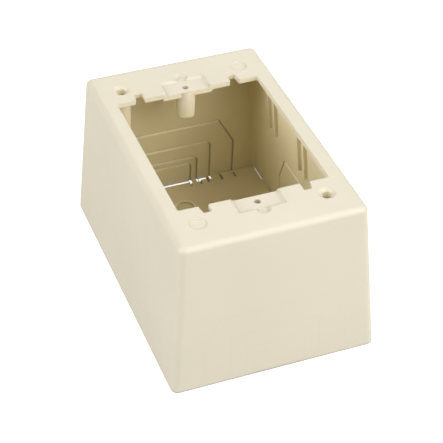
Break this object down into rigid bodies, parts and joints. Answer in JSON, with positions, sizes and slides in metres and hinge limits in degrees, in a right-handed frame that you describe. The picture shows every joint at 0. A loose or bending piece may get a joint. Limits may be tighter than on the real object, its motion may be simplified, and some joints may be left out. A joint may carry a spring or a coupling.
{
  "type": "surface mount box",
  "caption": "Deep ivory plastic wall box with drafted sides, an open front for a wiring device, scored knockouts for raceway inside its walls and a separate flat base.",
  "frame": {"origin": "middle of the wall side, in the plane of the wall", "axes": "+Z out of the wall towards the open front, +Y along the long side, +X across the short side"},
  "size_m": [0.0872, 0.1306, 0.0691],
  "materials": {
    "ivory_housing": "satin moulded",
    "ivory_base": "satin moulded"
  },
  "bodies": {
    "root": {"housing": "ivory_housing", "base_plate": "ivory_base"}
  },
  "joints": []
}
